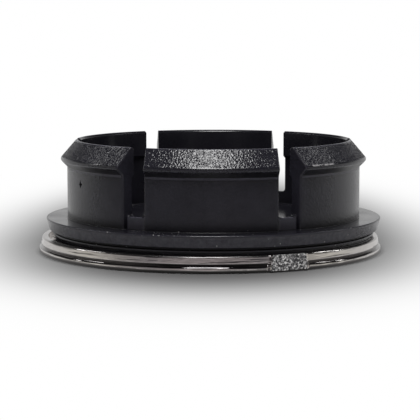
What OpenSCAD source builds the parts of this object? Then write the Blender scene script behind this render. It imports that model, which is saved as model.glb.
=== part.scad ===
// Snap-in centre cap of an alloy wheel, standing on its face with the clips up.
// The origin lies on the face's axis, in the plane that the face stands on.
// The front of the cap looks along -Y, where one clip stands in the middle.

/* [Clip ring] */
// Outside diameter of the clip ring's wall, which enters the wheel's bore
ring_d = 55.5; // [40:0.1:80]
// Thickness of the ring's wall below the clip heads
wall_t = 1.9; // [1.2:0.1:3]
// Height of the clip ring above the flange
ring_h = 14.55; // [11:0.05:22]
// Number of clips around the ring
clip_count = 6; // [4:1:9]

/* [Clip heads] */
// How far a clip's lip stands out past the ring's wall
lip_out = 1.2; // [0.7:0.1:1.8]
// Depth of the lip's nose below the clip's top
lip_drop = 3.65; // [3:0.05:5]
// Radius of the lip's nose
nose_r = 0.5; // [0.3:0.05:0.6]
// How far the head is thickened inwards, past the wall's inner face
head_in = 0.45; // [0.2:0.05:1]
// Height of the thickened head
head_h = 5; // [4:0.1:6.5]
// Width of the flat land on a clip's top
land_w = 0.3; // [0.2:0.05:0.5]
// Width of the chamfer inside the land
head_chamfer = 0.35; // [0.2:0.05:0.6]

/* [Slots] */
// Width of a slot at the inner face of the clip heads
slot_w = 2.65; // [1.5:0.05:5]
// Angle by which each side of a slot opens outwards
slot_flare = 21.5; // [5:0.5:24]
// Height of a slot's bottom above the flange
slot_sill = 2.15; // [1:0.05:4]
// How far the web below a slot is set back from the ring's wall
sill_back = 0.85; // [0.3:0.05:0.9]
// Radius of the corners at a slot's bottom
slot_root_r = 0.7; // [0.3:0.1:0.7]

/* [Flange and floor] */
// How far the flange stands out past the ring's wall
flange_w = 4.05; // [3:0.05:7]
// Thickness of the flange at its edge
flange_t = 2.25; // [1.6:0.05:4]
// How far the flange's edge draws in from top to bottom
flange_draft = 0.65; // [0.2:0.05:0.7]
// Depth of the floor inside the ring, below the flange's top
floor_drop = 0.4; // [0.1:0.1:0.5]
// Thickness of the floor
floor_t = 1.8; // [1.2:0.1:2.4]
// Radius of the rounded edges and inner corners of the black moulding
soft_r = 0.35; // [0.2:0.05:0.5]

/* [Joint between the pieces] */
// Height of the shadow gap between the face's rim and the flange
gap_h = 1.3; // [1.2:0.1:2]
// Gap between the rim's top and the collar round the spigot
collar_lift = 0.4; // [0.1:0.05:0.5]
// Height of the collar
collar_h = 0.4; // [0.3:0.05:0.6]
// How far the collar stands out past the spigot
collar_out = 0.45; // [0.3:0.05:0.6]
// How far the black moulding sits off the face's centre, towards +X, within the play of its seat
seat_shift = 0.65; // [0:0.05:0.7]
// Clearance left where the spigot comes nearest to the recess
seat_clear = 0.05; // [0.05:0.01:0.15]
// Thickness of the spigot's wall
spigot_t = 2; // [1.4:0.1:3]

/* [Face] */
// How far the face's rim stands out past the flange
rim_out = 0.05; // [0.05:0.05:1.5]
// Height of the rim, from the plane that it stands on
rim_h = 3; // [2.8:0.05:5]
// Thickness of the rim's wall at its top
rim_wall = 1.1; // [1:0.1:1.8]
// How much wider the rim's wall is at its foot than at its top
rim_lean = 0.35; // [0.2:0.05:0.6]
// Radius of the bead along the face's edge
bead_r = 0.65; // [0.5:0.05:0.8]
// How far the bead stands out past the foot of the rim's wall
bead_out = 0.35; // [0.2:0.05:0.6]
// Width of the crease above the bead
crease_w = 0.4; // [0.3:0.05:0.6]
// Depth of the crease, from the foot of the rim's wall
crease_deep = 0.3; // [0.2:0.05:0.35]
// Thickness of the face, from the plane that it stands on to the spigot's seat
plate_t = 1.6; // [1.2:0.1:2]
// Width of the flat ring that the cap stands on
rest_w = 3.4; // [2:0.1:8]
// Depth of the bare field inside that ring
field_deep = 0.4; // [0.2:0.05:0.6]

/* [Broken gate] */
// Width of the stub that the broken moulding gate left on the rim
gate_w = 7; // [4:0.1:9]
// How far that stub stands out of the rim
gate_out = 0.3; // [0.1:0.05:0.5]
// Radius of the plated fillets at the stub's sides
gate_fillet = 0.6; // [0.5:0.05:1.2]
// Height of the stub's foot above the plane that the cap stands on
gate_low = 0.35; // [0.1:0.05:0.8]
// Angle of the stub, from the front towards +X
gate_angle = 26.3; // [0:0.1:90]

/* [Hidden] */
$fn = 96;

// Angle at which the bead ends and the crease begins
bead_end = 60;
// Slope of the lip's underside and of the head's inner step
under_angle = 45;
// Length by which a cutter runs past the faces that it cuts
past = 1;
// How far the rounded corners beside a web run into the clips
bite = 0.02;

ring_r = ring_d / 2;
wall_in_r = ring_r - wall_t;
head_in_r = wall_in_r - head_in;
web_r = ring_r - sill_back;
flange_r = ring_r + flange_w;
rim_top_r = flange_r + rim_out;
wall_foot_r = rim_top_r + rim_lean;
rim_r = wall_foot_r + bead_out;
recess_r = rim_top_r - rim_wall;
spigot_r = recess_r - seat_shift - seat_clear;

collar_z = rim_h + collar_lift;
flange_bottom = rim_h + gap_h;
flange_top = flange_bottom + flange_t;
floor_top = flange_top - floor_drop;
top_z = flange_top + ring_h;
nose_z = top_z - lip_drop;
nose_c = ring_r + lip_out - nose_r;
slot_z = flange_top + slot_sill;
web_top = slot_z + 2 * slot_root_r;

// Points on an arc about [x, z], from angle a to angle b
function arc(x, z, r, a, b, n = 6) =
    [for (i = [0 : n]) let (t = a + (b - a) * i / n) [x + r * cos(t), z + r * sin(t)]];

// Angle on the nose at which the straight bevel from the land meets it
land_out_r = head_in_r + head_chamfer + land_w;
bevel_dx = land_out_r - nose_c;
bevel_dz = top_z - nose_z;
bevel_angle = atan2(bevel_dz, bevel_dx)
    - acos(nose_r / sqrt(bevel_dx * bevel_dx + bevel_dz * bevel_dz));

// Height at which the lip's underside runs into the wall
under_x = nose_c + nose_r * cos(under_angle);
under_z = nose_z - nose_r * sin(under_angle) - (under_x - ring_r) * tan(under_angle);

// Section of the black moulding up to the webs between the clips
base_section = concat(
    [[spigot_r - spigot_t, plate_t], [spigot_r, plate_t],
     [spigot_r, collar_z], [spigot_r + collar_out, collar_z],
     [spigot_r + collar_out, collar_z + collar_h], [spigot_r, collar_z + collar_h],
     [spigot_r, flange_bottom], [flange_r - flange_draft, flange_bottom]],
    arc(flange_r - soft_r, flange_top - soft_r, soft_r, 0, 90, 4),
    arc(web_r + soft_r, flange_top + soft_r, soft_r, 270, 180, 4),
    [[web_r, web_top], [wall_in_r, web_top]],
    arc(wall_in_r - soft_r, floor_top + soft_r, soft_r, 0, -90, 4),
    [[0, floor_top], [0, floor_top - floor_t],
     [spigot_r - spigot_t, floor_top - floor_t]]
);

// Section of a clip, from inside the flange round the lip to the head's inner face
clip_section = concat(
    [[wall_in_r, floor_top], [ring_r + soft_r, floor_top]],
    arc(ring_r + soft_r, flange_top + soft_r, soft_r, 270, 180, 4),
    [[ring_r, under_z]],
    arc(nose_c, nose_z, nose_r, -under_angle, bevel_angle),
    [[land_out_r, top_z], [head_in_r + head_chamfer, top_z],
     [head_in_r, top_z - head_chamfer], [head_in_r, top_z - head_h],
     [wall_in_r, top_z - head_h - head_in * tan(under_angle)]]
);

// Section of the face, from the middle of its bare field out round the rim
crease_z = bead_r * (1 + sin(bead_end));
wall_foot = crease_z + crease_w;
rim_slope = rim_lean / (rim_h - wall_foot);
field_r = rim_r - bead_r - rest_w;
face_section = concat(
    [[0, field_deep], [field_r - field_deep, field_deep], [field_r, 0]],
    arc(rim_r - bead_r, bead_r, bead_r, -90, 0),
    arc(rim_r - bead_r, bead_r, bead_r, bead_end / 3, bead_end, 2),
    [[wall_foot_r - crease_deep, crease_z + crease_w / 2], [wall_foot_r, wall_foot]],
    arc(rim_top_r - soft_r, rim_h - soft_r, soft_r, 0, 90, 4),
    [[recess_r, rim_h], [recess_r, plate_t], [0, plate_t]]
);

// Length of a slot's sides, from the clip heads' inner face to past the lips
slot_run = head_in + wall_t + lip_out + past;

// Plan of the space between two clips at the ring's front, with half its width at the clip heads
module slot_plan(near) {
    far = near + slot_run * tan(slot_flare);
    translate([0, -head_in_r])
        polygon([[-near, past], [near, past], [near, 0],
                 [far, -slot_run], [-far, -slot_run], [-near, 0]]);
}

// The space between two clips, open at the top and down past the flange's top
module clip_gap() {
    translate([0, 0, floor_top - past])
        linear_extrude(height = top_z)
            slot_plan(slot_w / 2);
}

// One side of a slot, seen from outside: a strip with a rounded corner at its foot
module slot_side() {
    corner = slot_root_r;
    deep = web_top - slot_z + past;
    polygon(concat(
        arc(-corner, corner, corner, -90, 0),
        [[0, deep], [-2 * corner, deep], [-2 * corner, 0]]
    ));
}

// The foot of a slot over a web, with rounded corners that run a little way into the clips
module slot_foot() {
    half = slot_w / 2 + bite;
    for (side = [-1, 1])
        translate([side * half, -head_in_r, slot_z])
            rotate([0, 0, side * slot_flare])
                mirror([side < 0 ? 1 : 0, 0, 0])
                    translate([0, past, 0])
                        rotate([90, 0, 0])
                            linear_extrude(height = slot_run + 2 * past)
                                slot_side();
    translate([0, 0, slot_z])
        linear_extrude(height = web_top - slot_z + past)
            slot_plan(half - slot_root_r);
}

// Copies of a shape at the slots, which lie midway between the clips
module at_slots() {
    for (i = [0 : clip_count - 1])
        rotate([0, 0, (i + 0.5) * 360 / clip_count])
            children();
}

// The black moulding: flange, floor, spigot, webs and clips, off the face's centre as it sits
module clip_body() {
    color([0.12, 0.12, 0.13])
        translate([seat_shift, 0, 0]) {
            difference() {
                rotate_extrude() polygon(base_section);
                at_slots() slot_foot();
            }
            difference() {
                rotate_extrude() polygon(clip_section);
                at_slots() clip_gap();
            }
        }
}

// Stub of the broken gate at the rim's front: it leans with the rim's wall
module gate_stub() {
    lean = atan(rim_slope);
    climb = acos((gate_fillet - gate_out) / gate_fillet);
    foot = gate_w / 2 + gate_fillet * sin(climb);
    drop = wall_foot_r - sqrt(wall_foot_r * wall_foot_r - foot * foot);
    side = arc(foot, gate_fillet - drop, gate_fillet, 270, 270 - climb, 4);
    intersection() {
        translate([-foot, -rim_r - rim_wall, gate_low])
            cube([2 * foot, 2 * rim_wall, rim_h - gate_low]);
        translate([0, -wall_foot_r, wall_foot])
            rotate([-lean, 0, 0])
                translate([0, 0, -rim_h])
                    linear_extrude(height = 2 * rim_h)
                        polygon([
                            [-foot, rim_wall / 2], [foot, rim_wall / 2],
                            for (p = side) [p[0], -p[1]],
                            for (i = [len(side) - 1 : -1 : 0]) [-side[i][0], -side[i][1]]
                        ]);
    }
}

// The plated face: bare field, rest ring, bead, crease, rim and the recess for the spigot
module chrome_face() {
    color([0.78, 0.77, 0.74]) {
        rotate_extrude() polygon(face_section);
        rotate([0, 0, gate_angle]) gate_stub();
    }
}

clip_body();
chrome_face();
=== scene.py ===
"""Looks of the wheel centre cap: a black clip moulding on a plated face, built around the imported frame."""
import math

import bmesh
import bpy
from mathutils import Matrix, Vector, noise

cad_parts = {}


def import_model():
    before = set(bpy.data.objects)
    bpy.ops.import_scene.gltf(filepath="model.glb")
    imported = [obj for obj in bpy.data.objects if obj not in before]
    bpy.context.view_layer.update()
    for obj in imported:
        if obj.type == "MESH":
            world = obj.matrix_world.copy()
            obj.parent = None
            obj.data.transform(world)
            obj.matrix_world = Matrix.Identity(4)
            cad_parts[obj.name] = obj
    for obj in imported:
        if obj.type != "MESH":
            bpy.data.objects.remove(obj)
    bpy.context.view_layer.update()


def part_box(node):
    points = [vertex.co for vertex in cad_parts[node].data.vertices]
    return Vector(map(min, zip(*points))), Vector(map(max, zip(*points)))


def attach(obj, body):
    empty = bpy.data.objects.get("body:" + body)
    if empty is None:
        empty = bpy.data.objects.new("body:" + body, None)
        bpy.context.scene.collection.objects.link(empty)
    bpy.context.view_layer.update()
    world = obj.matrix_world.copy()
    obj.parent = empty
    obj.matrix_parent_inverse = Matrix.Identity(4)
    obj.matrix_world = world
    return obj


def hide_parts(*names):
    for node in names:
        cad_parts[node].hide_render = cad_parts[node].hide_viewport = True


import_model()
BODY_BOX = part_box("clip_body")
FACE_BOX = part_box("chrome_face")

MM = 0.001
TWO_PI = 2 * math.pi

# Sizes of the black moulding, in millimetres, from the frame and from its known steps
TOP_Z = BODY_BOX[1].z / MM
PLATE_T = BODY_BOX[0].z / MM
FLANGE_R = (BODY_BOX[1].x - BODY_BOX[0].x) / 2 / MM
SHIFT = (BODY_BOX[1].x + BODY_BOX[0].x) / 2 / MM
FLANGE_W = 4.05
FLANGE_T = 2.25
FLANGE_DRAFT = 0.65
RING_H = 14.55
WALL_T = 1.9
FLOOR_DROP = 0.4
FLOOR_T = 1.8
RING_R = FLANGE_R - FLANGE_W
WALL_IN_R = RING_R - WALL_T
FLANGE_TOP = TOP_Z - RING_H
FLANGE_BOTTOM = FLANGE_TOP - FLANGE_T
FLOOR_TOP = FLANGE_TOP - FLOOR_DROP

# Clip heads: the thickening inside, the lip with its nose, and the underside at 45 degrees
HEAD_IN = 0.45
HEAD_H = 5.0
HEAD_CHAMFER = 0.35
LAND_W = 0.3
LIP_OUT = 1.2
LIP_DROP = 3.5
NOSE_R = 0.62
UNDER_ANGLE = math.radians(45)
HEAD_IN_R = WALL_IN_R - HEAD_IN
NOSE_X = RING_R + LIP_OUT - NOSE_R
NOSE_Z = TOP_Z - LIP_DROP
UNDER_X = NOSE_X + NOSE_R * math.cos(UNDER_ANGLE)
UNDER_Z = NOSE_Z - NOSE_R * math.sin(UNDER_ANGLE) - (UNDER_X - RING_R)

# Slots between the clips, and the webs below them
CLIPS = 6
SECTOR = TWO_PI / CLIPS
SLOT_W = 2.65
SLOT_FLARE = math.radians(21.5)
SLOT_SILL = 2.25
SILL_BACK = 0.85
ROOT_R = 0.7
WEB_R = RING_R - SILL_BACK
SLOT_Z = FLANGE_TOP + SLOT_SILL
ROOT_Z = SLOT_Z + ROOT_R

# Roundings of the black moulding
EDGE_R = 0.1
OUTER_EDGE_R = 0.3
EDGE_START = 1.0
FOOT_R = 0.08
SOFT_R = 0.35
FINE_SOFT = 0.08
SMALL_SOFT = 0.12
SPIGOT_SOFT = 0.3
HEAD_SOFT = 0.15
LAND_SOFT = 0.2
UNDER_SOFT = 0.3
FLANGE_SOFT = 0.2
FOOT_Z = FLANGE_TOP + FOOT_R

# Distance from the ring to the first full circle on the flange's top
FLAT_START = 0.6

# Small pit in the wall of the clip to the left of the front one
PIT_Z = 13.69
PIT_ANGLE = math.radians(299.6)
PIT_R = 0.9
PIT_DEEP = 0.8

# Coarse grain on the clips' bevels: its size and height, and how it fades out at the bevel's edges
GRAIN_SIZE = 0.19
GRAIN_DEEP = 0.105
GRAIN_FADE_LOW = 0.04
GRAIN_FADE_HIGH = 0.2
GRAIN_FADE_COLUMNS = 4

# Painted highlight in dashes along the nose of the clip to the right of the front one: its first and last
# angle
NOSE_GLINT_START = math.radians(37.5)
NOSE_GLINT_END = math.radians(50)

# Columns of the skins: along a clip, a slot and a sixth of the flange, and how many fine ones
# stand in for one of a clip's columns where there is grain or the pit
CLIP_COLUMNS = 30
GRAIN_SPLIT = 8
SLOT_COLUMNS = 6
FLANGE_COLUMNS = 48

# Steps round a nose, a rounded edge, the ring's foot and a slot's rounded corner
NOSE_STEPS = 9
EDGE_STEPS = 4
FOOT_STEPS = 3
CORNER_STEPS = 5

# Longest steps of the clips' section: on the bevel, at the pit and elsewhere
BEVEL_STEP = 0.105
PIT_STEP = 0.1
PLAIN_STEP = 2.0

# Sizes of the plated face, in millimetres
RIM_H = FACE_BOX[1].z / MM
RIM_OUT = 0.05
RIM_LEAN = 0.35
RIM_WALL = 1.1
RIM_SOFT = 0.45
RIM_FOOT_SOFT = 0.26
BEAD_R = 0.65
BEAD_OUT = 0.35
BEAD_END = math.radians(60)
CREASE_W = 0.4
CREASE_DEEP = 0.3
FIELD_DEEP = 0.4
REST_W = 3.4
RIM_TOP_R = FLANGE_R + RIM_OUT
RIM_FOOT_R = RIM_TOP_R + RIM_LEAN
RIM_R = RIM_FOOT_R + BEAD_OUT
CREASE_Z = BEAD_R * (1 + math.sin(BEAD_END))
RIM_FOOT_Z = CREASE_Z + CREASE_W
RECESS_R = RIM_TOP_R - RIM_WALL
FIELD_R = RIM_R - BEAD_R - REST_W

# Spigot of the black moulding in the face's recess, and the collar above the rim
SPIGOT_PLAY = 0.7
SPIGOT_T = 2.0
SPIGOT_R = RECESS_R - SPIGOT_PLAY
COLLAR_OUT = 0.45
COLLAR_H = 0.4
COLLAR_LIFT = 0.4
COLLAR_LOW = RIM_H + COLLAR_LIFT
COLLAR_TOP = COLLAR_LOW + COLLAR_H

# Broken gate on the rim: its place, half its width at the top and at its left foot, and its form
GATE_ANGLE = math.radians(26.6)
GATE_HALF = 3.2
GATE_HALF_LOW = 4.1
GATE_OUT = 0.3
GATE_LOW = 0.35
GATE_FILLET = 0.6
# Depth below the rim's outside over which the rim takes the stub's form
GATE_DEPTH = 0.3
# Height and size of the stub's torn surface, coarse and fine
TEAR_DEEP = 0.13
TEAR_SIZE = 0.35
TEAR_FINE_DEEP = 0.09
TEAR_FINE_SIZE = 0.17

# Longest steps on the plated rim: along its section, and round it at the gate and elsewhere
RIM_STEP = 0.14
GATE_STEP = 0.13
RIM_TURN = math.radians(0.75)

# Kinds of surface on the black moulding
# Painted highlight: the fourth kind is a paler black along the top edges of the clips and of the webs
# Painted highlight: the seventh kind is a pale black, in dashes, along one clip's nose
# Painted highlight: the sixth kind is a paler black on the wall's strip just under the lips; it is also the
# tone of the webs' outer faces
# Painted shade: the fifth kind is a darker black under the lips and at the ring's foot
SATIN, GRAINED, GLOSSY, LIT_EDGE, SHADED, PALER, NOSE_GLINT = range(7)
# Kinds of surface on the face
PLATED, BROKEN = range(2)

# Lengths nearer than this, in millimetres, count as equal
EQUAL_WITHIN = 0.001
# Points nearer than this, in metres, are joined; steeper edges than this stay sharp
JOIN_WITHIN = 1e-6
SHARP_ANGLE = math.radians(38)

# Crumbs on the flange's front edge: the middle and half the length of their patch, in metres
CRUMBS_X = -0.0085
CRUMBS_REACH = 0.005

# The painted soft shadow that the cap stands in: its middle, and how far it spreads each way, in metres
SHADE_MIDDLE = 0.0146
SHADE_ASIDE = 0.0397
SHADE_FRONT = 0.0637
SHADE_BACK = 0.1137
SHADE_POWER = 1.87
SHADE_DEPTH = 1.345
# The deeper painted shadow along the front of the rim: its depth, and how far it reaches, in metres
NEAR_DEPTH = 0.83
NEAR_REACH = 0.0093
# Half the side of the floor, in metres
FLOOR_REACH = 4


def arc(x, z, r, a, b, steps):
    """Points on an arc about (x, z), from angle a to angle b in degrees."""
    turns = [math.radians(a + (b - a) * i / steps) for i in range(steps + 1)]
    return [(x + r * math.cos(t), z + r * math.sin(t)) for t in turns]


def rounded(corners, steps=4):
    """Points of an open outline whose corners (x, z, radius) are rounded."""
    points = []
    for i, (x, z, r) in enumerate(corners):
        here = Vector((x, z))
        if r == 0 or i in (0, len(corners) - 1):
            points.append(here)
            continue
        back = (Vector(corners[i - 1][:2]) - here).normalized()
        ahead = (Vector(corners[i + 1][:2]) - here).normalized()
        half = back.angle(ahead) / 2
        centre = here + (back + ahead).normalized() * (r / math.sin(half))
        start = here + back * (r / math.tan(half)) - centre
        turn = (math.pi - 2 * half) * (1 if back.cross(ahead) < 0 else -1)
        for k in range(steps + 1):
            points.append(centre + Matrix.Rotation(turn * k / steps, 2) @ start)
    return [(p[0], p[1]) for p in points]


def divided(points, spacing):
    """The same outline with no step longer than its spacing, a number or a function of a step's middle."""
    out = [points[0]]
    for (x0, z0), (x1, z1) in zip(points, points[1:]):
        gap = spacing((x0 + x1) / 2, (z0 + z1) / 2) if callable(spacing) else spacing
        count = max(1, math.ceil(math.hypot(x1 - x0, z1 - z0) / gap))
        out += [(x0 + (x1 - x0) * k / count, z0 + (z1 - z0) * k / count) for k in range(1, count + 1)]
    return out


def outward(points):
    """Unit normals of an outline, on the right of its direction."""
    normals = []
    for i in range(len(points)):
        x0, z0 = points[max(i - 1, 0)]
        x1, z1 = points[min(i + 1, len(points) - 1)]
        size = math.hypot(x1 - x0, z1 - z0)
        normals.append(((z1 - z0) / size, -(x1 - x0) / size))
    return normals


class Surface:
    """Collects grids and faces, in millimetres, and turns them into one closed mesh."""

    def __init__(self):
        self.points = []
        self.faces = []
        self.slots = []

    def grid(self, rows, slot=0, steps=None):
        """Adds a grid of points, row by row; slot is a number or a function of a face's row and column.

        Where steps are given, a row keeps only every so many of its points.
        """
        base = len(self.points)
        width = len(rows[0])
        steps = steps or [1] * len(rows)
        for row in rows:
            self.points.extend(row)
        for i in range(len(rows) - 1):
            stride = max(steps[i], steps[i + 1])
            for j in range(0, width - 1, stride):
                a = base + i * width + j
                near = range(a, a + stride + 1, steps[i])
                far = range(a + width, a + width + stride + 1, steps[i + 1])
                self.faces.append((*near, *reversed(far)))
                self.slots.append(slot(i, j) if callable(slot) else slot)

    def face(self, points, slot=0):
        """Adds one flat face."""
        base = len(self.points)
        self.points.extend(points)
        self.faces.append(tuple(range(base, base + len(points))))
        self.slots.append(slot)

    def build(self, name, materials):
        """Joins what touches, drops points that no face uses, and makes the piece."""
        mesh = bpy.data.meshes.new(name)
        mesh.from_pydata([tuple(c * MM for c in p) for p in self.points], [], self.faces)
        for material in materials:
            mesh.materials.append(material)
        mesh.polygons.foreach_set("material_index", self.slots)
        work = bmesh.new()
        work.from_mesh(mesh)
        bmesh.ops.delete(work, geom=[v for v in work.verts if not v.link_faces], context="VERTS")
        bmesh.ops.remove_doubles(work, verts=work.verts, dist=JOIN_WITHIN)
        bmesh.ops.recalc_face_normals(work, faces=work.faces)
        work.to_mesh(mesh)
        work.free()
        mesh.shade_smooth()
        mesh.set_sharp_from_angle(angle=SHARP_ANGLE)
        piece = bpy.data.objects.new(name, mesh)
        bpy.context.scene.collection.objects.link(piece)
        weigh = piece.modifiers.new("even_shading", "WEIGHTED_NORMAL")
        weigh.keep_sharp = True
        weigh.weight = 80
        return piece


def turned(r, angle, z):
    """The point at a radius, an angle from the front towards +X, and a height."""
    return (r * math.sin(angle), -r * math.cos(angle), z)


def slot_half(r):
    """Half the width of a slot at a radius."""
    return SLOT_W / 2 + (r - HEAD_IN_R) * math.tan(SLOT_FLARE)


def edge_radius(r):
    """Radius of a clip's vertical edge: larger outside than inside."""
    start = HEAD_IN_R + EDGE_START
    share = (r - start) / (RING_R - start)
    return EDGE_R + (OUTER_EDGE_R - EDGE_R) * min(1, max(0, share))


def clip_outline():
    """Section of one clip, from its foot outside over the head to its root inside.

    With it come the lowest and the highest place of the bevel.
    """
    land_x = HEAD_IN_R + HEAD_CHAMFER + LAND_W
    reach = math.hypot(land_x - NOSE_X, TOP_Z - NOSE_Z)
    tangent = math.atan2(TOP_Z - NOSE_Z, land_x - NOSE_X) - math.acos(NOSE_R / reach)
    below = rounded([
        (RING_R, FOOT_Z, 0),
        (RING_R, PIT_Z - PIT_R, 0),
        (RING_R, PIT_Z + PIT_R, 0),
        (RING_R, UNDER_Z - UNDER_SOFT - 0.05, 0),
        (RING_R, UNDER_Z, UNDER_SOFT),
        (UNDER_X, UNDER_Z + UNDER_X - RING_R, 0),
    ])
    nose = arc(NOSE_X, NOSE_Z, NOSE_R, -math.degrees(UNDER_ANGLE), math.degrees(tangent),
               NOSE_STEPS)
    above = rounded([
        (*nose[-1], 0),
        (land_x, TOP_Z, LAND_SOFT),
        (HEAD_IN_R + HEAD_CHAMFER, TOP_Z, SMALL_SOFT),
        (HEAD_IN_R, TOP_Z - HEAD_CHAMFER, HEAD_SOFT),
        (HEAD_IN_R, TOP_Z - HEAD_H, HEAD_SOFT),
        (WALL_IN_R, TOP_Z - HEAD_H - HEAD_IN, HEAD_SOFT),
        (WALL_IN_R, ROOT_Z, 0),
    ], 3)
    bevel_low = nose[-1][1]
    bevel_top = above[1][1]

    def spacing(x, z):
        if x > land_x and bevel_low < z < bevel_top:
            return BEVEL_STEP
        if x > WEB_R and abs(z - PIT_Z) < PIT_R:
            return PIT_STEP
        return PLAIN_STEP

    points = divided(below + nose[1:-1] + above, spacing)
    return points, bevel_low, bevel_top


def grain(x, y, z):
    """Height of the coarse spark-eroded grain, between about -1 and 1."""
    p = Vector((x, y, z)) / GRAIN_SIZE
    return 0.65 * noise.noise(p) + 0.5 * noise.noise(p * 2.1 + Vector((7, 3, 1)))


def pit(angle, z):
    """Depth of the pit at a place on the ring's wall: a small star with four points."""
    away = abs((angle - PIT_ANGLE) * RING_R / PIT_R) ** 0.6 + abs((z - PIT_Z) / PIT_R) ** 0.6
    return PIT_DEEP * max(0, 1 - away)


def nose_glint_here(angle, z, bevel_low):
    """Whether a place on the top edge of a clip's nose gets the painted highlight, in dashes."""
    dashed = noise.noise(Vector((angle * 40, z * 3, 0.7))) > -0.1
    return NOSE_GLINT_START < angle < NOSE_GLINT_END and abs(z - bevel_low + 0.05) < 0.1 and dashed


def clip_grid(surface, points, normals, centre, bevel):
    """The skin of one clip, with grain on its bevel and the pit in the wall of one of them.

    Rows with grain or the pit keep all their columns, and the others keep every GRAIN_SPLIT-th.
    """
    rows = []
    steps = []
    columns = CLIP_COLUMNS * GRAIN_SPLIT
    for (r, z), (nx, nz) in zip(points, normals):
        half = SECTOR / 2 - math.asin((slot_half(r) + edge_radius(r)) / r)
        sloping = nx > 0.3 and nz > 0.3
        on_wall = abs(r - RING_R) < EQUAL_WITHIN
        by_bevel = sloping and bevel[0] - 0.2 < z <= bevel[1]
        by_pit = on_wall and abs(centre - PIT_ANGLE) < 0.1 and abs(z - PIT_Z) < PIT_R
        steps.append(1 if by_bevel or by_pit else GRAIN_SPLIT)
        row = []
        for j in range(columns + 1):
            angle = centre + half * (2 * j / columns - 1)
            out = 0.0
            if sloping and bevel[0] < z < bevel[1]:
                side = min(j, columns - j) / GRAIN_FADE_COLUMNS
                rim = min((z - bevel[0]) / GRAIN_FADE_LOW, (bevel[1] - z) / GRAIN_FADE_HIGH)
                out = GRAIN_DEEP * min(1, side) * min(1, rim) * grain(*turned(r, angle, z))
            if on_wall:
                out -= pit(angle, z)
            row.append(turned(r + out * nx, angle, z + out * nz))
        rows.append(row)

    def skin(i, j):
        """Kind of surface of one face, from its place in the section and along the clip."""
        (r, z), (next_r, next_z) = points[i], points[i + 1]
        if r <= WALL_IN_R and next_r <= WALL_IN_R:
            return GLOSSY
        middle = (z + next_z) / 2
        angle = centre + (SECTOR / 2 - slot_half(r) / r) * (2 * j / columns - 1)
        # Painted highlight: a pale black in dashes along the nose of the clip right of the front one
        if r > RING_R and nose_glint_here(angle, middle, bevel[0]):
            return NOSE_GLINT
        if bevel[0] < middle < bevel[1] and r > next_r and r > HEAD_IN_R + 0.5:
            return GRAINED
        if NOSE_Z < middle < bevel[0] and r > RING_R:
            return GLOSSY
        # Painted highlight: a paler black along the clips' top outer edges
        if middle > bevel[1]:
            return LIT_EDGE if normals[i][0] > 0.15 else GLOSSY
        # Painted shade: a darker black on the undersides of the lips
        if r > RING_R + 0.05 and next_r > RING_R + 0.05 and middle < NOSE_Z - 0.5:
            return SHADED
        # Painted highlight: a paler black on the wall's strip just under the lip
        if r < RING_R + 0.1 and abs(middle - UNDER_Z + 0.08) < 0.2:
            return PALER
        return SATIN

    surface.grid(rows, skin, steps)


def edge_steps(radius=EDGE_R):
    """Pairs (inset, grow) across a rounded edge, from the skin to the slot's side."""
    turns = [math.pi / 2 * k / EDGE_STEPS for k in range(EDGE_STEPS + 1)]
    return [(radius * (1 - math.cos(t)), radius * (1 - math.sin(t))) for t in turns]


def web_section(r, way, bulge):
    """Points (radius, half width, height) across a web's rounded edge, for each turn of its corner."""
    rows = []
    for k in range(CORNER_STEPS + 1):
        turn = math.pi / 2 * k / CORNER_STEPS
        size = math.sin(turn) if bulge else 1
        row = []
        for inset, grow in edge_steps():
            rr = r - way * inset * size
            reach = ROOT_R + grow * size
            half = slot_half(rr) - ROOT_R + reach * math.cos(turn)
            row.append((rr, half, ROOT_Z - reach * math.sin(turn)))
        rows.append(row)
    return rows


def web_halves():
    """Places across a web's outer face, from one clip's side to the other's."""
    corner = [row[0][1] for row in web_section(WEB_R, 1, True)]
    flat = [corner[-1] * (1 - 2 * k / SLOT_COLUMNS) for k in range(1, SLOT_COLUMNS)]
    return corner + flat + [-half for half in reversed(corner)]


def clip_side(surface, points, normals, centre, side):
    """One side of a clip: its rounded edges, its flat, and the rounded corner down to the web."""
    middle = centre + side * SECTOR / 2

    def at(r, half, z):
        return turned(r, middle - side * math.asin(half / r), z)

    edge = []
    for (r, z), (nx, nz) in zip(points, normals):
        row = []
        for inset, grow in edge_steps(edge_radius(r)):
            rr = r - inset * nx
            row.append(at(rr, slot_half(rr) + grow, z - inset * nz))
        edge.append(row)
    surface.grid(edge, SATIN)
    corner = slot_half(WEB_R)
    surface.face([row[-1] for row in edge] + [at(WEB_R, corner, ROOT_Z), at(WEB_R, corner, FOOT_Z)])
    root = []
    for outer, inner in zip(web_section(WEB_R, 1, True), web_section(WALL_IN_R, -1, False)):
        root.append([at(*p) for p in outer] + [at(*p) for p in reversed(inner)])
    surface.grid(root, GLOSSY)


def web(surface, middle):
    """The top and the outer face of one web."""
    outer = web_section(WEB_R, 1, True)
    inner = web_section(WALL_IN_R, -1, False)
    floor = []
    for k in range(SLOT_COLUMNS + 1):
        share = 1 - 2 * k / SLOT_COLUMNS
        across = outer[-1] + inner[-1][::-1]
        floor.append([turned(r, middle - math.asin(half * share / r), z) for r, half, z in across])
    # Painted highlight: a paler black along the web's outer top edge
    surface.grid(floor, lambda i, j: LIT_EDGE if j < len(outer[-1]) - 1 else GLOSSY)
    tops = [row[0][2] for row in outer]
    tops += [tops[-1]] * (SLOT_COLUMNS - 1) + tops[::-1]
    face = []
    for half, top in zip(web_halves(), tops):
        angle = middle - math.asin(half / WEB_R)
        face.append([turned(WEB_R, angle, FOOT_Z), turned(WEB_R, angle, top)])
    # A paler black on the web's outer face, lighter than the clips' walls
    surface.grid(face, PALER)


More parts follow.
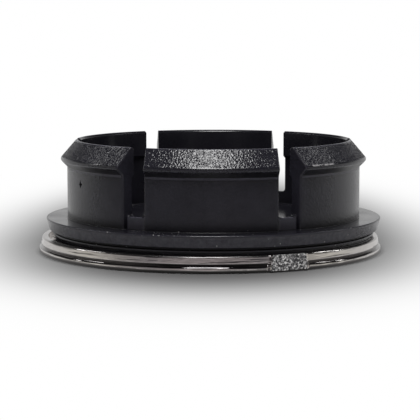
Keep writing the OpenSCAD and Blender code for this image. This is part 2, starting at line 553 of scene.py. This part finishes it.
def clip_ring(surface):
    """The clips and the webs between them, down to the foot outside and to the webs' tops inside."""
    points, bevel_low, bevel_top = clip_outline()
    normals = outward(points)
    for clip in range(CLIPS):
        centre = clip * SECTOR
        clip_grid(surface, points, normals, centre, (bevel_low, bevel_top))
        rows = []
        for row in web_section(WALL_IN_R, -1, False):
            r, lateral, z = row[0]
            half = SECTOR / 2 - math.asin(lateral / r)
            rows.append([turned(r, centre + half * (2 * j / CLIP_COLUMNS - 1), z)
                         for j in range(CLIP_COLUMNS + 1)])
        surface.grid(rows, GLOSSY)
        for side in (-1, 1):
            clip_side(surface, points, normals, centre, side)
        web(surface, centre + SECTOR / 2)


def foot_plan(out):
    """Radius and angle of each point round the foot of clips and webs, moved outwards by a length."""
    plan = []
    lean = out / math.cos(SLOT_FLARE)
    edge = OUTER_EDGE_R + out
    sides = []
    for k in range(EDGE_STEPS + 1):
        turn = math.pi / 2 * k / EDGE_STEPS
        r = RING_R + out - edge * (1 - math.cos(turn))
        sides.append((r, slot_half(r) - lean + edge * (1 - math.sin(turn))))
    web_r = WEB_R + out
    scale = (slot_half(web_r) - lean) / slot_half(WEB_R)
    for clip in range(CLIPS):
        centre = clip * SECTOR
        r, lateral = sides[0]
        half = SECTOR / 2 - math.asin(lateral / r)
        plan += [(r, centre + half * (2 * j / CLIP_COLUMNS - 1)) for j in range(CLIP_COLUMNS + 1)]
        middle = centre + SECTOR / 2
        plan += [(r, middle - math.asin(lateral / r)) for r, lateral in sides[1:]]
        plan += [(web_r, middle - math.asin(half * scale / web_r)) for half in web_halves()]
        plan += [(r, middle + math.asin(lateral / r)) for r, lateral in reversed(sides[1:])]
    r, angle = plan[0]
    return plan + [(r, angle + TWO_PI)]


def ring_foot(surface):
    """The rounded foot of the ring on the flange, and the flange's flat top round it."""
    rows = []
    for k in range(FOOT_STEPS + 1):
        turn = math.pi / 2 * k / FOOT_STEPS
        z = FLANGE_TOP + FOOT_R * (1 - math.sin(turn))
        rows.append([turned(r, a, z) for r, a in foot_plan(FOOT_R * (1 - math.cos(turn)))])
    # Painted shade: a darker black on the ring's rounded foot
    surface.grid(rows, SHADED)
    per_clip = (len(rows[-1]) - 1) // CLIPS
    start = CLIP_COLUMNS // 2
    foot = rows[-1][:-1]
    for clip in range(CLIPS):
        near = [foot[(clip * per_clip + start + k) % len(foot)] for k in range(per_clip + 1)]
        far = [turned(RING_R + FLAT_START, (clip + k / FLANGE_COLUMNS) * SECTOR, FLANGE_TOP)
               for k in range(FLANGE_COLUMNS + 1)]
        surface.face(near + far[::-1], GLOSSY)


def inner_angles():
    """Angles of the columns round the ring's inner wall, at the height of the webs' tops."""
    r, lateral, _ = web_section(WALL_IN_R, -1, False)[-1][0]
    half = SECTOR / 2 - math.asin(lateral / r)
    angles = []
    for clip in range(CLIPS):
        centre = clip * SECTOR
        angles += [centre + half * (2 * j / CLIP_COLUMNS - 1) for j in range(CLIP_COLUMNS)]
        for k in range(SLOT_COLUMNS):
            share = 1 - 2 * k / SLOT_COLUMNS
            angles.append(centre + SECTOR / 2 - math.asin(lateral * share / r))
    return angles + [angles[0] + TWO_PI]


def revolve(surface, points, angles, slot, end_slot):
    """A turned skin, closed at its last point by a flat face."""
    surface.grid([[turned(r, a, z) for a in angles] for r, z in points], slot)
    r, z = points[-1]
    surface.face([turned(r, a, z) for a in angles[:-1]], end_slot)


def clip_body(materials):
    """The black moulding, off the face's centre as it sits."""
    surface = Surface()
    clip_ring(surface)
    ring_foot(surface)
    spigot_in = SPIGOT_R - SPIGOT_T
    outside = rounded([
        (RING_R + FLAT_START, FLANGE_TOP, 0),
        (FLANGE_R, FLANGE_TOP, FLANGE_SOFT),
        (FLANGE_R - FLANGE_DRAFT, FLANGE_BOTTOM, SMALL_SOFT),
        (SPIGOT_R, FLANGE_BOTTOM, FINE_SOFT),
        (SPIGOT_R, COLLAR_TOP, FINE_SOFT),
        (SPIGOT_R + COLLAR_OUT, COLLAR_TOP, SMALL_SOFT),
        (SPIGOT_R + COLLAR_OUT, COLLAR_LOW, FINE_SOFT),
        (SPIGOT_R, COLLAR_LOW, 0),
        (SPIGOT_R, PLATE_T, EDGE_R),
        (spigot_in, PLATE_T, EDGE_R),
        (spigot_in, FLOOR_TOP - FLOOR_T, SPIGOT_SOFT),
        (spigot_in - 1, FLOOR_TOP - FLOOR_T, 0),
    ])

    def outside_skin(i, j):
        return GLOSSY if outside[i + 1][1] > FLANGE_TOP - EQUAL_WITHIN else SATIN

    columns = CLIPS * FLANGE_COLUMNS
    angles = [TWO_PI * k / columns for k in range(columns + 1)]
    revolve(surface, outside, angles, outside_skin, SATIN)
    inside = rounded([
        (WALL_IN_R, SLOT_Z - EDGE_R, 0),
        (WALL_IN_R, FLOOR_TOP, SOFT_R),
        (WALL_IN_R - 1.5, FLOOR_TOP, 0),
    ])
    revolve(surface, inside, inner_angles(), GLOSSY, GLOSSY)
    surface.points = [(x + SHIFT, y, z) for x, y, z in surface.points]
    return surface.build("clip_moulding", materials)


def wall_line(z):
    """Radius of the rim's leaning wall, and of its line carried on, at a height."""
    return RIM_TOP_R + (RIM_FOOT_R - RIM_TOP_R) * (RIM_H - z) / (RIM_H - RIM_FOOT_Z)


def gate_reach(x, z):
    """How far the gate's stub stands out of the rim at a place, and whether it is broken there."""
    half = GATE_HALF
    if x < 0:
        half += (GATE_HALF_LOW - GATE_HALF) * (1 - z / RIM_H)
    run = math.sqrt(GATE_FILLET ** 2 - (GATE_FILLET - GATE_OUT) ** 2)
    past = abs(x) - half
    if past <= 0:
        return GATE_OUT, True
    if past >= run:
        return 0.0, False
    return GATE_FILLET - math.sqrt(GATE_FILLET ** 2 - (run - past) ** 2), False


def stub_radius(r, angle, z):
    """Radius of the rim's skin at a place, with the gate's stub, and whether it is broken there."""
    level = math.cos(angle - GATE_ANGLE)
    if r <= RIM_TOP_R - GATE_DEPTH or z <= GATE_LOW or level <= 0.9:
        return r, False
    x = r * math.sin(angle - GATE_ANGLE)
    reach, rough = gate_reach(x, z)
    if reach <= 0:
        return r, rough
    face = (wall_line(z) + reach) / level
    face -= (RIM_R / level - RIM_R) * (1 - reach / GATE_OUT)
    new_r = r + (face - r) * min(1, (r - RIM_TOP_R + GATE_DEPTH) / 0.2)
    if rough:
        p = Vector((x, z, 3.3))
        new_r += TEAR_DEEP * noise.noise(p / TEAR_SIZE) + TEAR_FINE_DEEP * noise.noise(p / TEAR_FINE_SIZE)
    return max(new_r, r - 0.1), rough


def face_section():
    """Section of the plated face, from the field on its outer side over the rim to its inside."""
    field = rounded([
        (FIELD_R - 2, FIELD_DEEP, 0),
        (FIELD_R - FIELD_DEEP, FIELD_DEEP, 0.2),
        (FIELD_R, 0, 0.3),
        (RIM_R - BEAD_R, 0, 0),
    ])
    bead = arc(RIM_R - BEAD_R, BEAD_R, BEAD_R, -90, math.degrees(BEAD_END), 14)
    rim = rounded([
        (RIM_R - BEAD_R * (1 - math.cos(BEAD_END)), CREASE_Z, 0),
        (RIM_FOOT_R - CREASE_DEEP, CREASE_Z + CREASE_W / 2, 0.06),
        (RIM_FOOT_R, RIM_FOOT_Z, RIM_FOOT_SOFT),
        (RIM_TOP_R, RIM_H, RIM_SOFT),
        (RECESS_R, RIM_H, EDGE_R),
        (RECESS_R, PLATE_T, EDGE_R),
        (RECESS_R - 1, PLATE_T, 0),
    ], 5)
    return divided(field + bead[1:] + rim[1:], lambda x, z: RIM_STEP if x > RIM_TOP_R - 0.5 else 3.0)


def face_angles():
    """Angles of the plated face's columns: close at the gate, and wider apart elsewhere."""
    window = (GATE_HALF_LOW + GATE_FILLET + 0.2) / RIM_R
    rest = TWO_PI - 2 * window
    close = round(2 * window / (GATE_STEP / RIM_R))
    wide = round(rest / RIM_TURN)
    angles = [GATE_ANGLE - window + 2 * window * k / close for k in range(close + 1)]
    return angles + [GATE_ANGLE + window + rest * k / wide for k in range(1, wide + 1)]


def plated_face(materials):
    """The plated face, with the rough stub of its gate."""
    angles = face_angles()
    rows = []
    broken = []
    for r, z in face_section():
        places = [stub_radius(r, angle, z) for angle in angles]
        rows.append([turned(radius, angle, z) for (radius, _), angle in zip(places, angles)])
        broken.append([rough for _, rough in places])
    surface = Surface()
    surface.grid(rows, lambda i, j: BROKEN if broken[i][j] and broken[i + 1][j + 1] else PLATED)
    surface.face(rows[0][:-1], PLATED)
    surface.face(rows[-1][:-1], PLATED)
    return surface.build("plated_face", materials)


class Nodes:
    """Short hand for making the nodes of a material or of the world."""

    def __init__(self, owner):
        owner.use_nodes = True
        self.owner = owner
        self.tree = owner.node_tree
        self.tree.nodes.clear()

    def add(self, kind, inputs=None, **settings):
        """A node with its settings; an input is a value or another node's output."""
        node = self.tree.nodes.new(kind)
        for key, value in settings.items():
            setattr(node, key, value)
        for key, value in (inputs or {}).items():
            if isinstance(value, bpy.types.NodeSocket):
                self.tree.links.new(value, node.inputs[key])
            else:
                node.inputs[key].default_value = value
        return node

    def place(self):
        """The place on the piece, in metres."""
        return self.add("ShaderNodeTexCoord").outputs["Object"]

    def split(self, vector):
        """The parts X, Y and Z of a vector."""
        return self.add("ShaderNodeSeparateXYZ", {0: vector}).outputs

    def math(self, operation, first, second=0.0):
        return self.add("ShaderNodeMath", {0: first, 1: second}, operation=operation).outputs[0]

    def vector(self, operation, first, second=(0, 0, 0)):
        return self.add("ShaderNodeVectorMath", {0: first, 1: second}, operation=operation)

    def times(self, first, *others):
        """The product of two or more values."""
        for other in others:
            first = self.math("MULTIPLY", first, other)
        return first

    def level_length(self, vector):
        """The length of a vector seen from above."""
        flat = self.vector("MULTIPLY", vector, (1, 1, 0)).outputs["Vector"]
        return self.vector("LENGTH", flat).outputs["Value"]

    def noise(self, place, scale, detail=2.0, roughness=0.5):
        return self.add("ShaderNodeTexNoise", {"Vector": place, "Scale": scale, "Detail": detail,
                                               "Roughness": roughness}).outputs["Fac"]

    def ramp(self, value, *stops):
        """A colour ramp through stops, each a position and a colour."""
        node = self.add("ShaderNodeValToRGB", {"Fac": value})
        elements = node.color_ramp.elements
        elements[0].position, elements[0].color = stops[0][0], (*stops[0][1], 1)
        elements[1].position, elements[1].color = stops[-1][0], (*stops[-1][1], 1)
        for position, colour in stops[1:-1]:
            elements.new(position).color = (*colour, 1)
        return node.outputs["Color"]

    def blend(self, share, first, second, **settings):
        """The first colour, with a share of the second."""
        return self.add("ShaderNodeMix", {"Factor": share, "A": first, "B": second},
                        data_type="RGBA", **settings).outputs["Result"]

    def span(self, value, low, high, out_low, out_high):
        """A value's place between low and high, carried over to another span and held within it."""
        return self.add("ShaderNodeMapRange", {"Value": value, "From Min": low, "From Max": high,
                                               "To Min": out_low, "To Max": out_high}).outputs["Result"]

    def mix(self, share, first, second):
        return self.add("ShaderNodeMixShader", {0: share, 1: first, 2: second}).outputs[0]

    def near(self, value, middle, reach):
        """1 where a value lies within a reach of a middle, and 0 elsewhere."""
        apart = self.math("ABSOLUTE", self.math("SUBTRACT", value, middle))
        return self.math("LESS_THAN", apart, reach)

    def specks(self, place, scale, size, share):
        """1 on small round specks, one in a share of a pattern's cells."""
        cells = self.add("ShaderNodeTexVoronoi", {"Vector": place, "Scale": scale}).outputs
        lot = self.split(cells["Color"])["X"]
        return self.times(self.math("LESS_THAN", cells["Distance"], size),
                          self.math("LESS_THAN", lot, share))

    def bump(self, height, strength, distance):
        return self.add("ShaderNodeBump", {"Height": height, "Strength": strength,
                                           "Distance": distance}).outputs["Normal"]

    def finish(self, shader, kind="ShaderNodeOutputMaterial"):
        self.add(kind, {"Surface": shader})
        return self.owner


def edge_paling(n, height, amount):
    """Share of a paler, mottled tone on the flange's outer edge."""
    low, high = FLANGE_BOTTOM * MM, FLANGE_TOP * MM
    return n.times(n.span(height, low, low + 0.0002, 0.0, amount),
                   n.span(height, high - 0.0005, high - 0.0002, 1.0, 0.0))


def flange_specks(n, place, split, amount):
    """Share of pale specks on the flange's top and of crumbs on its front edge."""
    low = n.span(split["Z"], (FLANGE_TOP + 0.2) * MM, (FLANGE_TOP + 0.4) * MM, amount, 0.0)
    low = n.times(low, n.math("GREATER_THAN", n.level_length(place), (RING_R - 0.5) * MM))
    patchy = n.times(n.span(n.noise(place, 110, 2, 0.5), 0.44, 0.5, 0.0, 1.0), low)
    speck = n.times(n.specks(place, 900, 0.09, 0.65), patchy)
    crumbs = n.times(
        n.specks(place, 1900, 0.2, 0.6),
        n.near(split["Z"], FLANGE_TOP * MM, 0.0003),
        n.near(split["X"], CRUMBS_X, CRUMBS_REACH),
        n.math("LESS_THAN", split["Y"], 0.0),
        amount,
    )
    return n.math("MAXIMUM", speck, crumbs)


def black_plastic(name, tone, smooth, sheen, scale, depth, edge_pale=0.0, specks=0.0, shut=0.25, blue=1.34):
    """Black plastic of one kind.

    It has a tone with its share of blue, a roughness at most and at least, a fine texture's scale
    and depth, the share of a paler tone on the flange's outer edge and of specks, and the share of
    colour left in corners, which is painted shade.
    """
    n = Nodes(bpy.data.materials.new(name))
    place = n.place()
    split = n.split(place)
    cloudy = n.noise(place, 180, 4, 0.6)
    dark = n.ramp(
        cloudy,
        (0.3, (tone * 0.88, tone * 0.85, tone * 0.88 * blue)),
        (0.7, (tone * 1.14, tone * 1.11, tone * 1.14 * blue)),
    )
    edge_tone = n.ramp(n.noise(place, 900, 4, 0.7), (0.3, (0.036, 0.035, 0.044)), (0.7, (0.066, 0.065, 0.077)))
    # A paler, mottled tone over the flange's outer edge, below its top
    colour = n.blend(edge_paling(n, split["Z"], edge_pale), dark, edge_tone)
    # Painted shade: the colour darkens towards black in corners, found by ambient occlusion, and the
    # specular level falls with it
    open_share = n.add("ShaderNodeAmbientOcclusion", {"Distance": 0.0025}, samples=8, only_local=True)
    open_share = n.span(open_share.outputs["AO"], 0.5, 0.95, shut, 1.0)
    colour = n.blend(open_share, (0.002, 0.002, 0.002, 1), colour)
    colour = n.blend(flange_specks(n, place, split, specks), colour, (0.3, 0.3, 0.3, 1))
    shader = n.add("ShaderNodeBsdfPrincipled", {
        "Base Color": colour,
        "Roughness": n.span(cloudy, 0.3, 0.7, sheen, smooth),
        "Normal": n.bump(n.noise(place, scale, 0.6, 0.5), 1.0, depth),
        "IOR": 1.5,
        "Specular IOR Level": n.times(open_share, 0.5),
    })
    return n.finish(shader.outputs["BSDF"])


def plating():
    """Bright plating with haze, painted shade along the crease and over the bead's top, a top edge that is
    rougher and darkened as painted shade, and waves along the rim.
    """
    n = Nodes(bpy.data.materials.new("bright_plating"))
    place = n.place()
    height = n.split(place)["Z"]
    # Strength of the painted shade by place: 1 where X is near 0, at the front and the back, down to 0.4 at
    # the sides
    ahead = n.split(n.vector("ABSOLUTE", place).outputs["Vector"])["X"]
    ahead = n.span(ahead, 0.007, 0.014, 1.0, 0.4)
    # Painted shade: the colour darkens over the bead's top and in the crease, most near the front, which
    # also dims the lamp's glint there
    crease_shade = n.times(
        n.span(height, 0.93 * MM, 1.0 * MM, 0.0, 0.92),
        n.span(height, (RIM_FOOT_Z - 0.12) * MM, (RIM_FOOT_Z - 0.04) * MM, 1.0, 0.0),
        n.span(ahead, 0.4, 1.0, 0.75, 1.0),
    )
    # Top edge made rougher, and darkened as painted shade, most near the front, to dim the lamp's glint on
    # it
    rubbed_and_shaded = n.times(n.span(height, (RIM_H - 0.32) * MM, (RIM_H - 0.22) * MM, 0.0, 0.85), ahead)
    plate_colour = n.ramp(n.noise(place, 260, 4, 0.6), (0.3, (0.64, 0.61, 0.595)), (0.7, (0.72, 0.69, 0.67)))
    colour = n.blend(n.math("MAXIMUM", crease_shade, rubbed_and_shaded), plate_colour, (0.028, 0.026, 0.029, 1))
    rough = n.span(n.noise(place, 900, 3, 0.6), 0.35, 0.65, 0.02, 0.05)
    rough = n.math("ADD", rough, n.times(rubbed_and_shaded, 0.3))
    drawn = n.vector("MULTIPLY", place, (0.06, 0.06, 1.0)).outputs["Vector"]
    waves = n.math("ADD", n.noise(drawn, 1700, 2, 0.5), n.times(n.noise(place, 1300, 2, 0.6), 0.12))
    shader = n.add("ShaderNodeBsdfPrincipled", {
        "Base Color": colour,
        "Metallic": 1.0,
        "Roughness": rough,
        "Normal": n.bump(waves, 1.0, 0.00013),
    })
    return n.finish(shader.outputs["BSDF"])


def broken_plastic():
    """Bare plastic where the gate was broken off: torn, dark grey to white."""
    n = Nodes(bpy.data.materials.new("broken_plastic"))
    torn = n.noise(n.place(), 2400, 4, 0.75)
    colour = n.ramp(
        torn,
        (0.4, (0.015, 0.015, 0.017)),
        (0.5, (0.13, 0.13, 0.135)),
        (0.6, (0.92, 0.91, 0.9)),
    )
    normal = n.bump(torn, 1.0, 0.0003)
    shader = n.add("ShaderNodeBsdfPrincipled", {"Base Color": colour, "Roughness": 0.35, "Normal": normal})
    return n.finish(shader.outputs["BSDF"])


def camera():
    """The photograph's viewpoint: a long lens, a little above the cap's top."""
    distance = 321.796
    height = 44.261
    pitch = math.radians(6.524)
    turn = math.radians(0.9)
    focal = 1695.157
    picture = 420
    data = bpy.data.cameras.new("camera")
    data.sensor_width = 36
    data.lens = focal * data.sensor_width / picture
    data.clip_start = 0.01
    data.clip_end = 20
    view = bpy.data.objects.new("camera", data)
    bpy.context.scene.collection.objects.link(view)
    place = Matrix.Rotation(turn, 4, "Z") @ Vector((0, -distance, height))
    view.location = place * MM
    view.rotation_euler = (math.pi / 2 - pitch, 0, turn)
    bpy.context.scene.camera = view


def stage_sheet(name, corners, material):
    """A flat sheet of the stage, which is no part of the cap."""
    mesh = bpy.data.meshes.new(name)
    mesh.from_pydata(corners, [], [(0, 1, 2, 3)])
    mesh.materials.append(material)
    sheet = bpy.data.objects.new(name, mesh)
    bpy.context.scene.collection.objects.link(sheet)


def soft_shade(n, split):
    """The painted soft shadow round the cap, from 1 at its middle to 0 far away."""
    aside = n.math("DIVIDE", split["X"], SHADE_ASIDE)
    along = n.math("SUBTRACT", split["Y"], SHADE_MIDDLE)
    front = n.math("DIVIDE", n.math("MINIMUM", along, 0.0), SHADE_FRONT)
    back = n.math("DIVIDE", n.math("MAXIMUM", along, 0.0), SHADE_BACK)
    square = n.math("ADD", n.times(aside, aside), n.times(front, front))
    square = n.math("ADD", square, n.times(back, back))
    return n.math("EXPONENT", n.times(n.math("POWER", square, SHADE_POWER), -1.0))


def floor_material():
    """White floor with a painted soft shadow that turns it grey around the cap; it keeps the cap's real
    shadow as well.
    """
    n = Nodes(bpy.data.materials.new("pale_floor"))
    place = n.place()
    split = n.split(place)
    apart = n.level_length(place)
    past_rim = n.math("MAXIMUM", n.math("SUBTRACT", apart, RIM_R * MM), 0.0)
    ahead = n.span(n.math("DIVIDE", split["Y"], apart), -1, 1, 1, 0)

    shade = soft_shade(n, split)
    tone = n.math("MAXIMUM", n.math("SUBTRACT", 1.0, n.times(shade, SHADE_DEPTH)), 0.02)
    near = n.math("EXPONENT", n.math("DIVIDE", past_rim, -NEAR_REACH))
    near = n.times(near, n.math("POWER", ahead, 6.0), NEAR_DEPTH)
    tone = n.times(tone, n.math("SUBTRACT", 1.0, near))
    # Painted shadow right at the foot of the rim's front
    under_rim = n.times(n.math("POWER", ahead, 2.0), n.span(past_rim, 0.0001, 0.0009, 0.85, 0.0))
    tone = n.times(tone, n.math("SUBTRACT", 1.0, under_rim))
    diffuse = n.add("ShaderNodeBsdfDiffuse", {"Color": (0.7, 0.7, 0.7, 1)}).outputs["BSDF"]
    seen = n.add("ShaderNodeEmission", {"Strength": tone}).outputs["Emission"]
    shadowed = n.mix(n.times(shade, 0.3), seen, diffuse)

    # What the rim mirrors of the floor, a painted reflection: a lit strip round the cap, and more light
    # behind it
    lit_strip = n.times(n.span(apart, 0.035, 0.045, 0.16, 1.0), n.span(apart, 0.052, 0.066, 0.85, 0.1))
    behind = n.math("ADD", split["Y"], n.times(split["X"], 0.08))
    away = n.math("MAXIMUM", n.span(behind, -0.068, 0.05, 0.13, 0.66), lit_strip)
    # Painted shade in the mirrored floor close in front of the rim
    unlit = n.times(n.math("POWER", ahead, 2.0), n.span(past_rim, 0.0, 0.002, 0.9, 0.0))
    away = n.times(away, n.math("SUBTRACT", 1.0, unlit))
    strength = n.times(n.span(tone, 0.0, 1.0, 0.5, 1.0), away)
    mirrored = n.add("ShaderNodeEmission", {"Strength": strength}).outputs["Emission"]
    path = n.add("ShaderNodeLightPath").outputs
    glossy = n.math("MAXIMUM", path["Is Glossy Ray"], path["Is Transmission Ray"])
    return n.finish(n.mix(path["Is Camera Ray"], n.mix(glossy, diffuse, mirrored), shadowed))


def world():
    """White behind the cap for the camera; a lit studio, darker in front, for the light on the cap."""
    n = Nodes(bpy.data.worlds.new("studio"))
    bpy.context.scene.world = n.owner
    way = n.add("ShaderNodeTexCoord").outputs["Generated"]
    split = n.split(way)
    behind = n.math("ADD", split["Y"], n.times(split["X"], 0.045))
    bearing = n.span(n.math("DIVIDE", behind, n.level_length(way)), -1, 1, 0, 1)
    round_about = n.ramp(
        bearing,
        (0.0, (0.30, 0.275, 0.28)),
        (0.05, (0.26, 0.24, 0.245)),
        (0.11, (0.21, 0.2, 0.21)),
        (0.26, (0.31, 0.30, 0.29)),
        (0.4, (0.5, 0.49, 0.46)),
        (0.5, (0.55, 0.54, 0.50)),
        (0.75, (0.55, 0.55, 0.54)),
        (1.0, (0.6, 0.6, 0.6)),
    )
    front = n.ramp(
        split["Z"],
        (0.05, (0.95, 0.95, 0.95)),
        (0.14, (0.5, 0.5, 0.5)),
        (0.28, (0.4, 0.4, 0.4)),
        (0.36, (0.62, 0.62, 0.62)),
        (0.44, (0.35, 0.35, 0.35)),
        (0.54, (0.05, 0.05, 0.055)),
        (1.0, (0.05, 0.05, 0.055)),
    )
    back = n.ramp(
        split["Z"],
        (0.18, (0.54, 0.54, 0.54)),
        (0.25, (0.43, 0.43, 0.43)),
        (0.36, (0.04, 0.04, 0.04)),
        (1.0, (0.025, 0.025, 0.027)),
    )
    high = n.blend(n.span(bearing, 0.35, 0.5, 0.0, 1.0), front, back)
    lit_colour = n.blend(1.0, round_about, high, blend_type="MULTIPLY")
    lit = n.add("ShaderNodeBackground", {"Color": lit_colour, "Strength": 2.0}).outputs[0]
    white = n.add("ShaderNodeBackground", {"Color": (1, 1, 1, 1)}).outputs[0]
    seen = n.add("ShaderNodeLightPath").outputs["Is Camera Ray"]
    n.finish(n.mix(seen, lit, white), "ShaderNodeOutputWorld")


def softbox(name, place, size, power):
    """A rectangular lamp that faces the cap."""
    data = bpy.data.lights.new(name, "AREA")
    data.shape = "RECTANGLE"
    data.size, data.size_y = size
    data.energy = power
    lamp = bpy.data.objects.new(name, data)
    lamp.location = place
    lamp.rotation_euler = (Vector((0, 0, 0.015)) - Vector(place)).to_track_quat("-Z", "Y").to_euler()
    bpy.context.scene.collection.objects.link(lamp)


def lights():
    """A soft lamp high in front of the cap, and two small ones on each side behind it."""
    softbox("high_front", (-0.011, -0.16, 0.45), (0.15, 0.24), 1.55)
    for side, place in ((-1, "left"), (1, "right")):
        softbox("back_" + place, (side * 0.31, 0.14, 0.36), (0.05, 0.07), 0.08)
        softbox("side_" + place, (side * 0.412, 0.125, 0.27), (0.05, 0.05), 0.08)


def main():
    camera()
    body = clip_body([
        black_plastic("satin_black", 0.021, 0.27, 0.2, 2200, 0.00004, edge_pale=1.0, specks=1.0),
        black_plastic("grained_black", 0.018, 0.19, 0.14, 4500, 0.00004),
        black_plastic("glossy_black", 0.014, 0.22, 0.14, 1500, 0.000006, specks=1.0, shut=0.6),
        # Painted highlight: a paler black for the bright lines along the top edges
        black_plastic("lit_edge_black", 0.08, 0.35, 0.28, 2600, 0.00004, shut=0.6),
        # Painted shade: a darker black under the lips and at the ring's foot
        black_plastic("shaded_black", 0.009, 0.4, 0.3, 2600, 0.00003),
        # A paler black: painted highlight on the wall's strip under the lips, and the tone of the webs'
        # outer faces
        black_plastic("paler_black", 0.045, 0.35, 0.28, 2600, 0.00004, shut=0.5),
        # Painted highlight: a pale black in dashes along one clip's nose
        black_plastic("nose_glint_black", 0.3, 0.4, 0.35, 2600, 0.00004, shut=0.8, blue=1.0),
    ])
    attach(body, "root")
    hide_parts("clip_body")
    face = plated_face([plating(), broken_plastic()])
    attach(face, "root")
    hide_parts("chrome_face")
    corners = [(x * FLOOR_REACH, y * FLOOR_REACH, 0) for x, y in ((-1, -1), (1, -1), (1, 1), (-1, 1))]
    stage_sheet("floor", corners, floor_material())
    world()
    lights()
    bpy.context.scene.view_settings.view_transform = "Standard"


main()
